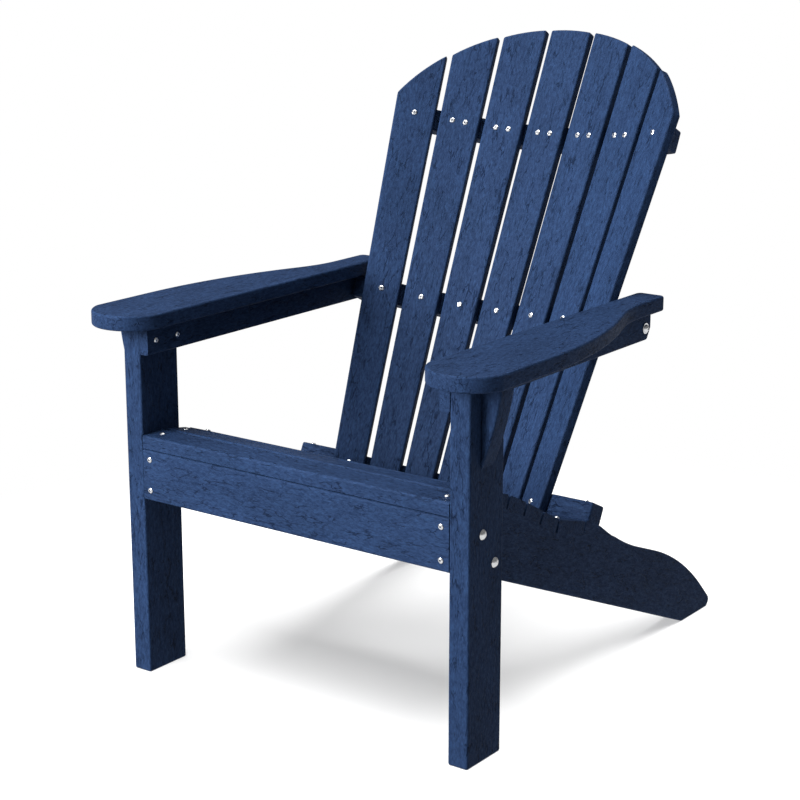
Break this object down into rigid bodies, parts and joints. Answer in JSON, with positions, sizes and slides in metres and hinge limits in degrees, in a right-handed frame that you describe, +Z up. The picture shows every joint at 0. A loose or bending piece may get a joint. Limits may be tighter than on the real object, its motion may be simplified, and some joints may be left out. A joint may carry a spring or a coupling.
{
  "type": "adirondack chair",
  "caption": "Adirondack garden chair of flat plastic-lumber boards, with a fanned and arched slatted back, a falling slatted seat, wide arms and exposed steel screws.",
  "frame": {"origin": "on the floor, under the middle of the overall box", "axes": "+Z up, the chair faces -Y, +X is the sitter's left"},
  "size_m": [0.6996, 0.7854, 0.9091],
  "materials": {
    "lumber": "embossed grain",
    "stainless": "satin"
  },
  "bodies": {
    "root": {"front_leg_left": "lumber", "front_leg_right": "lumber", "side_stringer_left": "lumber", "side_stringer_right": "lumber", "front_apron": "lumber", "seat_slat_1": "lumber", "seat_slat_2": "lumber", "seat_slat_3": "lumber", "seat_slat_4": "lumber", "seat_slat_5": "lumber", "seat_slat_6": "lumber", "seat_slat_7": "lumber", "back_slat_1": "lumber", "back_slat_2": "lumber", "back_slat_3": "lumber", "back_slat_4": "lumber", "back_slat_5": "lumber", "back_slat_6": "lumber", "back_slat_7": "lumber", "back_rail_upper": "lumber", "back_rail_middle": "lumber", "back_rail_lower": "lumber", "arm_left": "lumber", "arm_right": "lumber", "arm_rail_left": "lumber", "arm_rail_right": "lumber", "arm_bracket_left": "lumber", "arm_bracket_right": "lumber", "apron_screws": "stainless", "seat_screws": "stainless", "back_screws_upper": "stainless", "back_screws_middle": "stainless", "back_screws_lower": "stainless", "lower_rail_screws": "stainless", "arm_rail_screws": "stainless", "arm_screws": "stainless", "bracket_screws": "stainless", "leg_bolts": "stainless", "leg_bolt_washers": "stainless", "leg_bolt_nuts": "stainless", "arm_lag_screws": "stainless", "arm_lag_washers": "stainless"}
  },
  "joints": []
}
